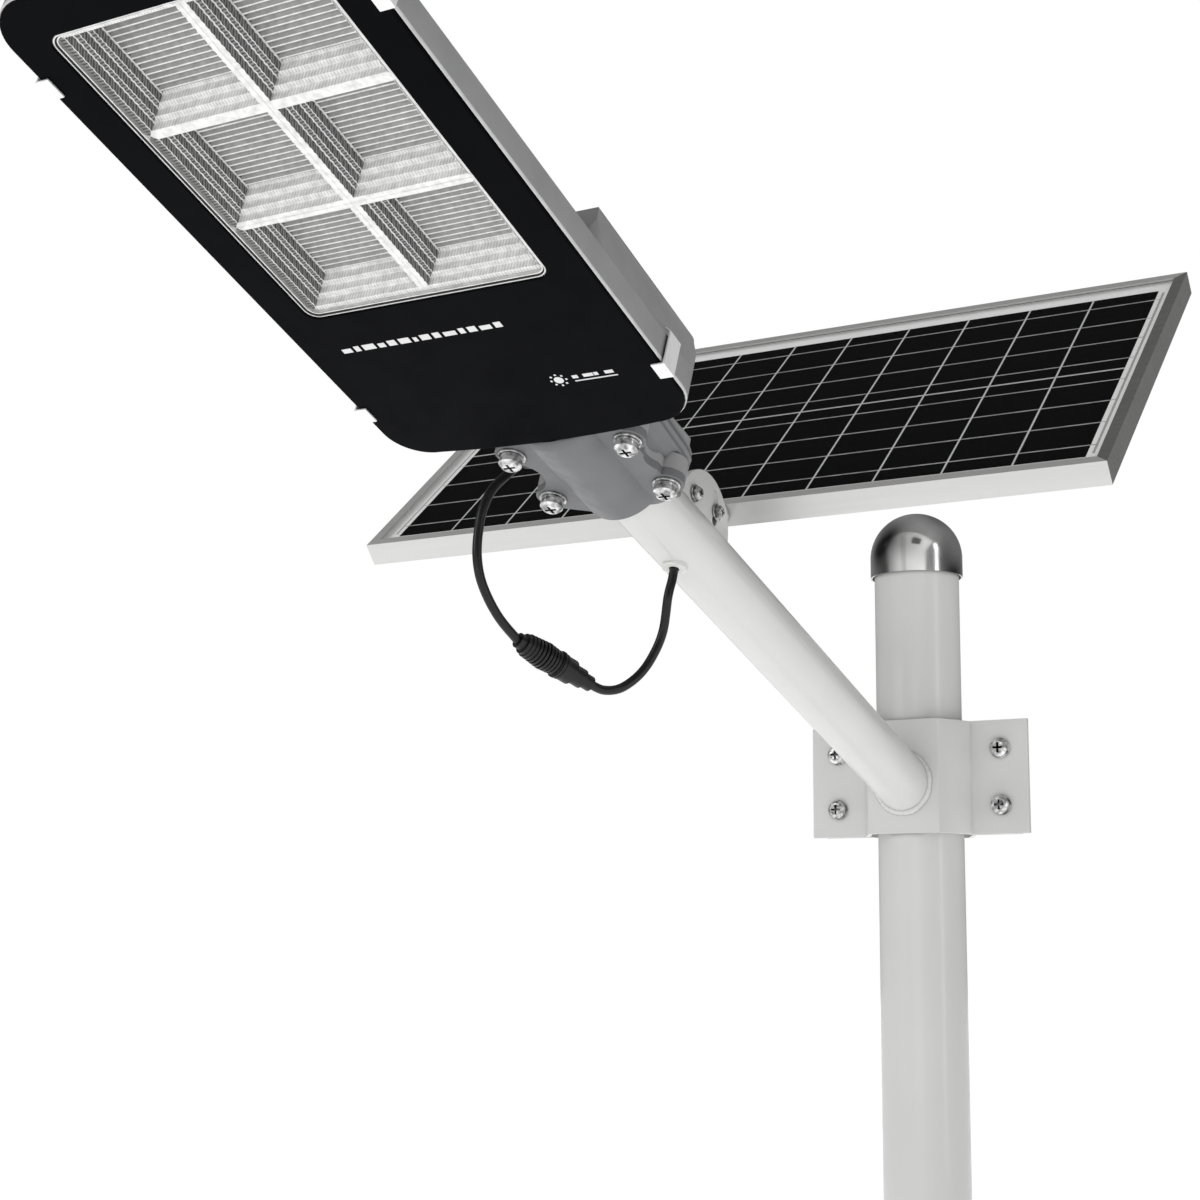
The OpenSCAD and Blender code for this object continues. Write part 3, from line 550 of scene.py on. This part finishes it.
def make_cords():
    radius = CABLE / 2 * MM
    lamp = smooth_route(LAMP_ROUTE, 8)
    lead = tube("lamp_cable", lamp, radius, "cable_black")
    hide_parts("lamp_lead")
    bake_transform(lead)
    arm = smooth_route(ARM_ROUTE, 8)[::-1]
    other = tube("arm_cable", arm, radius, "cable_black")
    finish_piece(other, "arm", ["arm_lead"])


# ---------------------------------------------------------------- lamp head
WIN_U0, WIN_U1, WIN_W = 146.5, 393, 172.4
BORDER = 3
WELL_DU, WELL_DV, BAR, BAR_N = (WIN_U1 - WIN_U0 - 2 * BORDER) / 3, (WIN_W - 2 * BORDER) / 2, 6, 5
WELL_RIBS = 34
RIB_DEPTH = 0.6
FLOOR_INSET, FLOOR_N, CREST_N, PRISMS = 10, 23.2, 21.9, 13
# Face tints of the reflector: EDGE and BAR_TOP take painted highlight, END painted light, SIDE painted shade and
# SHADOW painted shadow; FLOOR is the floors' darker grey.
PLAIN, EDGE, BAR_TOP, SIDE, SHADOW, END, FLOOR = range(7)


def well_loop(v, u, inset, n):
    """A well's outline at height n, its long sides finely corrugated."""
    w, l = WELL_DV - BAR - 2 * inset, WELL_DU - BAR - 2 * inset
    points = []
    for side in (1, -1):
        for k in range(WELL_RIBS + 1):
            along = side * (0.5 - k / WELL_RIBS) * l
            wave = RIB_DEPTH if k % 2 and 0 < k < WELL_RIBS else 0
            points.append((v + side * (w / 2 - wave), -u + along, n))
    return points


def mouth_tint(side, i, j):
    """White bars between the wells, their white a painted highlight, and ledges darkened by painted shade where
    a well borders the front plate.
    """
    right, left = side < WELL_RIBS, WELL_RIBS < side < 2 * WELL_RIBS + 1
    if (left and j < 0) or (right and j > 0):
        return SIDE if left else FLOOR
    if (side == WELL_RIBS and i == 2) or (side == 2 * WELL_RIBS + 1 and i == 0):
        return END
    return BAR_TOP


def make_wells():
    """The reflector: six stepped wells between white bars, with ribbed floors, its faces in lit and shaded
    copies of one moulding.
    """
    tray = Shape()
    centre = (0, -(WIN_U0 + WIN_U1) / 2)
    width, length = WIN_W, WIN_U1 - WIN_U0
    # rim bands: SHADOW bands are painted shadow, EDGE bands painted highlight
    rings = [(3, 2.55, PLAIN), (-0.2, 2.55, SHADOW), (-0.3, 1.3, EDGE), (-1.3, 1.2, EDGE),
             (-1.4, 3.6, SHADOW), (-2.1, 3.6, SHADOW), (-2.2, 2.2, EDGE), (-3.0, 2.2, EDGE),
             (-3.1, 5.2, PLAIN)]
    last = None
    for grow, n, tint in rings:
        now = tray.loop(rounded(width + 2 * grow, length + 2 * grow, 9 + grow, n, centre))
        if last:
            tray.band(last, now, tint)
        last = now
    steps = [(0, 5), (0.35, 5.2), (0.5, 10.3), (1.1, 10.8), (3.7, 11.2), (4.1, 11.4), (4.3, 16.3),
             (4.9, 16.8), (7.4, 17.2), (7.8, 17.4), (8.0, 22.4), (8.6, 22.9), (11, 23)]
    # the narrow chamfers of the steps take painted highlight; the walls and ledges take painted light on the
    # ends and painted shade on the sides
    highlit_steps = {0, 2, 4, 6, 8, 10}
    ends = (WELL_RIBS, 2 * WELL_RIBS + 1)
    for i in range(3):
        for j in (-0.5, 0.5):
            u, v = WIN_U0 + BORDER + (i + 0.5) * WELL_DU, j * WELL_DV
            loops = [tray.loop(well_loop(v, u, inset, n)) for inset, n in steps]
            cell = tray.loop([(v + a[0] * (WELL_DV / 2 + 0.2), -u + a[1] * (WELL_DU / 2 + 0.2), BAR_N)
                              for a in [(1, 1 - 2 * k / WELL_RIBS) for k in range(WELL_RIBS + 1)]
                              + [(-1, 2 * k / WELL_RIBS - 1) for k in range(WELL_RIBS + 1)]])
            tray.band(cell, loops[0], lambda side: mouth_tint(side, i, j))
            for k, (a, b) in enumerate(zip(loops, loops[1:])):
                tray.band(a, b, EDGE if k in highlit_steps else lambda side: END if side in ends else SIDE)
            make_floor(tray, v, u)
    looks = ["reflector", HIGHLIT_WELL_EDGE, HIGHLIT_WELL_EDGE, SHADED_WELL_SIDE, WELL_PAINTED_SHADOW, LIT_WELL_END, WELL_FLOOR]
    tray.build("reflector_wells", HEAD, looks, "head",
               ["reflector_tray", "reflector_cups", "well_lenses"])


def make_floor(tray, v, u):
    """Transverse prisms across a well's floor, each crest bright with painted highlight, and strips of painted
    highlight along the floor's sides.
    """
    w, l = (WELL_DV - BAR) / 2 - FLOOR_INSET, WELL_DU - BAR - 2 * FLOOR_INSET
    pitch = l / PRISMS
    for k in range(PRISMS):
        at = -u - l / 2 + (k + 0.5) * pitch
        rows = [(at - pitch / 2, FLOOR_N), (at - 0.45, CREST_N), (at + 0.45, CREST_N),
                (at + pitch / 2, FLOOR_N)]
        lines = [tray.loop([(v - w, y, n), (v + w, y, n)]) for y, n in rows]
        for m, tint in enumerate((FLOOR, EDGE, FLOOR)):
            tray.face((lines[m][0], lines[m][1], lines[m + 1][1], lines[m + 1][0]), tint)
    # strips of painted highlight along the floor's sides
    for side in (-1, 1):
        edge = tray.loop([(v + side * w, -u - l / 2, 22.2), (v + side * (w + 1.2), -u - l / 2, 22.2),
                          (v + side * (w + 1.2), -u + l / 2, 22.2), (v + side * w, -u + l / 2, 22.2)])
        tray.face(edge, EDGE)


def make_marks():
    """Plain printed bars and a sun on the front plate, with no letters."""
    marks = Shape()
    low, high = -0.12, 0.02
    lengths = (7, 4, 9, 5, 6, 8, 3, 7, 5, 9, 4, 6, 8, 5)
    v = -84
    for k, size in enumerate(lengths):
        marks.box((v, -117 if k % 3 else -116, low), (v + size, -112, high))
        v += size + 2.4
    for k, size in enumerate((5, 8, 4, 7)):
        marks.box((50 + 7.6 * k, -57.5, low), (50 + 7.6 * k + size - 1, -54.5, high))
    marks.box((50, -52.4, low), (80, -51.4, high))
    ring = [(40 + 3.2 * math.cos(w), -55 + 3.2 * math.sin(w))
            for w in (2 * math.pi * k / 24 for k in range(24))]
    under = marks.loop([(x, y, low) for x, y in ring])
    marks.band(under, marks.loop([(x, y, high) for x, y in ring]))
    marks.face(under)
    for k in range(8):
        w = math.pi * k / 4
        x, y = 40 + 5.3 * math.cos(w), -55 + 5.3 * math.sin(w)
        marks.box((x - 0.7, y - 0.7, low), (x + 0.7, y + 0.7, high))
    marks.build("plate_marks", HEAD, [PRINT], "head")


PLATE_W, PLATE_L, PLATE_R = 221, 419, 28
BOW, BOW_HALF = 4.5, 82


def plate_outline(grow, n, steps=10):
    """The front plate's outline, with its bowed neck end, grown by grow."""
    points = []
    for x, y, z in rounded(PLATE_W + 2 * grow, PLATE_L + 2 * grow, PLATE_R + grow, n,
                           (0, -PLATE_L / 2), steps):
        bow = max(0.0, 1 - (x / BOW_HALF) ** 2) if y > -1 else 0
        points.append((x, y + BOW * bow, z))
        if y > -1 and abs(x - (PLATE_W / 2 - PLATE_R)) < 1:
            points += [(v, grow + BOW * (1 - (v / BOW_HALF) ** 2), z) for v in range(78, -80, -6)]
    return points


def make_trim():
    """The housing's bright rim round the front plate."""
    trim = Shape()
    loops = [trim.loop(plate_outline(grow, n)) for grow, n in ((0.1, 2.3), (0.5, 1.9), (1.1, 2.3), (1.2, 4.2))]
    for a, b in zip(loops, loops[1:]):
        trim.band(a, b)
    trim.build("plate_trim", HEAD, [TRIM], "head", angle=60)


def make_cover_nose():
    """Draws the neck cover's bulge in to the front plate's edge."""
    nose = Shape()
    rows = ((598, 32.55), (619, 32.65), (620.3, 32.6), (622, 31.8), (623.6, 30.4), (624.6, 28.6))
    count, start, sweep = 48, 206, 128
    angles = [math.radians(start + sweep * k / count) for k in range(count + 1)]
    loops = [nose.loop([(r * math.cos(a), -s, r * math.sin(a)) for a in angles]) for s, r in rows]
    nose.strips(loops)
    nose.build("cover_nose", ARM, ["neck_grey"], "head", angle=60)


def make_neck_side():
    """The upper neck's fluted right side, curving in to the tube at its end."""
    side = Shape()
    widest = ((518, 30), (521, 39), (525, 45), (531, 49.5), (540, 52.2), (552, 53.6), (566, 54.6),
              (582, 56), (600, 57.2), (622, 58))
    count = 40
    loops = []
    for s, wide in widest:
        row = []
        for k in range(count + 1):
            t = k / count
            swell = math.sin(math.pi / 2 * min(1, 1.3 * t))
            flute = 0.55 * math.sin(2 * math.pi * 4 * t) * min(1, (s - 517) / 20)
            row.append((min(wide, 36) + (wide - min(wide, 36)) * swell + 0.5 + flute, -s, -13.8 + 26 * t))
        loops.append(side.loop(row))
    side.strips(loops)
    side.build("neck_side", ARM, ["neck_grey"], "head", angle=70)


# ---------------------------------------------------------------- panel
PANEL_LEN, PANEL_W, CELL_COLS = 625, 325, 11
CELL_MARGIN, CELL_EDGE, RAIL_WALL = 20, 19, 2


def make_cells():
    """Black cells in two rows, with bright gaps between them and busbars along the rows."""
    cells_mesh, lines = Shape(), Shape()
    left, width = -PANEL_LEN / 2 + CELL_MARGIN, (PANEL_LEN - 2 * CELL_MARGIN) / CELL_COLS
    length = (PANEL_W - 2 * CELL_EDGE) / 2
    for j in (0, 1):
        y0 = CELL_EDGE + j * length + 0.7
        for i in range(CELL_COLS):
            x0 = left + i * width + 0.55
            cells_mesh.box((x0, y0, -5.3), (x0 + width - 1.1, y0 + length - 1.4, -4.82))
        for k in range(4):
            y = y0 + (k + 0.5) * (length - 1.4) / 4
            lines.box((left - 4, y - 0.6, -4.85), (-left + 4, y + 0.6, -4.76))
    cells_mesh.build("cells", PANEL, ["solar_black"], "panel", ["solar_cells"])
    lines.build("busbars", PANEL, [BUSBAR], "panel")
    gaps = Shape()
    for i in range(1, CELL_COLS):
        x = left + i * width
        gaps.box((x - 0.8, CELL_EDGE, -5.0), (x + 0.8, PANEL_W - CELL_EDGE, -4.74))
    gaps.box((left, PANEL_W / 2 - 0.9, -5.0), (-left, PANEL_W / 2 + 0.9, -4.74))
    margins = Shape()
    half, far, inner = PANEL_LEN / 2 - RAIL_WALL, PANEL_W - RAIL_WALL, CELL_EDGE + 0.5
    for low, high in (((-half, RAIL_WALL), (left, far)), ((-left, RAIL_WALL), (half, far)),
                      ((left, RAIL_WALL), (-left, inner)), ((left, PANEL_W - inner), (-left, far))):
        margins.box((*low, -5.3), (*high, -4.86))
    gaps.build("cell_gaps", PANEL, [GAP], "panel")
    # the margins glow faintly: painted light
    margins.build("panel_margins", PANEL, [MARGIN], "panel")
    edge = Shape()
    for x in (left - 5.5, -left + 3.5):
        edge.box((x, 24, -5.35), (x + 2, PANEL_W - 24, -4.8))
    edge.build("bus_ribbons", PANEL, [RIBBON], "panel")


# ---------------------------------------------------------------- bracket
def make_weld():
    """A rippled bead round the arm where it meets the clamp's face."""
    bead = Shape()
    count, ring = 132, 10
    loops = []
    for k in range(count):
        w = 2 * math.pi * k / count
        ripple = 0.45 * abs(math.sin(k * math.pi / 4)) + 0.25 * math.sin(k * 0.37)
        x, z = 24 * math.cos(w), 25.3 * math.sin(w)
        out = Vector((math.cos(w), 0, math.sin(w)))
        size = 3.1 + ripple
        loops.append(bead.loop([(x + size * out.x * math.cos(b), -42.4 - size * math.sin(b),
                                 BRACKET_Z - 5.9 + z + size * out.z * math.cos(b))
                                for b in (math.pi * m / (ring - 1) for m in range(ring))]))
    bead.strips(loops + loops[:1])
    bead.build("weld_bead", POLE, ["coated_light"], "arm", ["arm_weld"], 70)


# ---------------------------------------------------------------- studio
def make_light(name, place, target, size, power):
    data = bpy.data.lights.new(name, "AREA")
    data.shape = "RECTANGLE"
    data.size, data.size_y = size
    data.energy = power
    light = bpy.data.objects.new(name, data)
    bpy.context.scene.collection.objects.link(light)
    light.location = place
    light.rotation_euler = (Vector(target) - Vector(place)).to_track_quat("-Z", "Y").to_euler()


def make_studio():
    data = bpy.data.meshes.new("floor")
    shape = bmesh.new()
    bmesh.ops.create_circle(shape, cap_ends=True, segments=96, radius=30)
    shape.to_mesh(data)
    shape.free()
    pale = Look("floor_pale", (0.35, 0.35, 0.35), 0.9, Specular_IOR_Level=0.0, Emission_Color=(1, 1, 1, 1),
                Emission_Strength=0.98).mottle(0.6, 0.01).grain(30, 0.001, 0.05).material
    floor = new_object("floor", data, [pale])
    floor.location.z = CAD_BOX[0].z - 0.001
    world = bpy.data.worlds.new("studio")
    bpy.context.scene.world = world
    world.use_nodes = True
    nodes, links = world.node_tree.nodes, world.node_tree.links
    sky = nodes["Background"]
    sky.inputs["Color"].default_value = (1, 1, 1, 1)
    sky.inputs["Strength"].default_value = 0.19
    white = nodes.new("ShaderNodeBackground")
    white.inputs["Color"].default_value = (1, 1, 1, 1)
    white.inputs["Strength"].default_value = 1.0
    seen = nodes.new("ShaderNodeLightPath")
    mix = nodes.new("ShaderNodeMixShader")
    links.new(seen.outputs["Is Camera Ray"], mix.inputs["Fac"])
    links.new(sky.outputs["Background"], mix.inputs[1])
    links.new(white.outputs["Background"], mix.inputs[2])
    links.new(mix.outputs["Shader"], nodes["World Output"].inputs["Surface"])
    centre = (0, -0.4, 0.7)
    make_light("key", (-2.4, -3.4, 2.4), centre, (2.0, 2.4), 43)
    make_light("front", (0.4, -3.6, 0.7), centre, (1.6, 1.6), 7)
    make_light("side", (3.0, -0.9, 1.2), centre, (0.5, 2.4), 10)
    bpy.context.scene.view_settings.view_transform = "Standard"


make_camera()
make_cords()
make_wells()
make_marks()
make_cells()
make_weld()
make_trim()
make_cover_nose()
make_neck_side()
for name, width in SOFT.items():
    soften(name, width)
for node, made in frame["nodes"].items():
    for holder in made.material_slots:
        holder.material = LOOKS[SLOTS[node]]
make_studio()
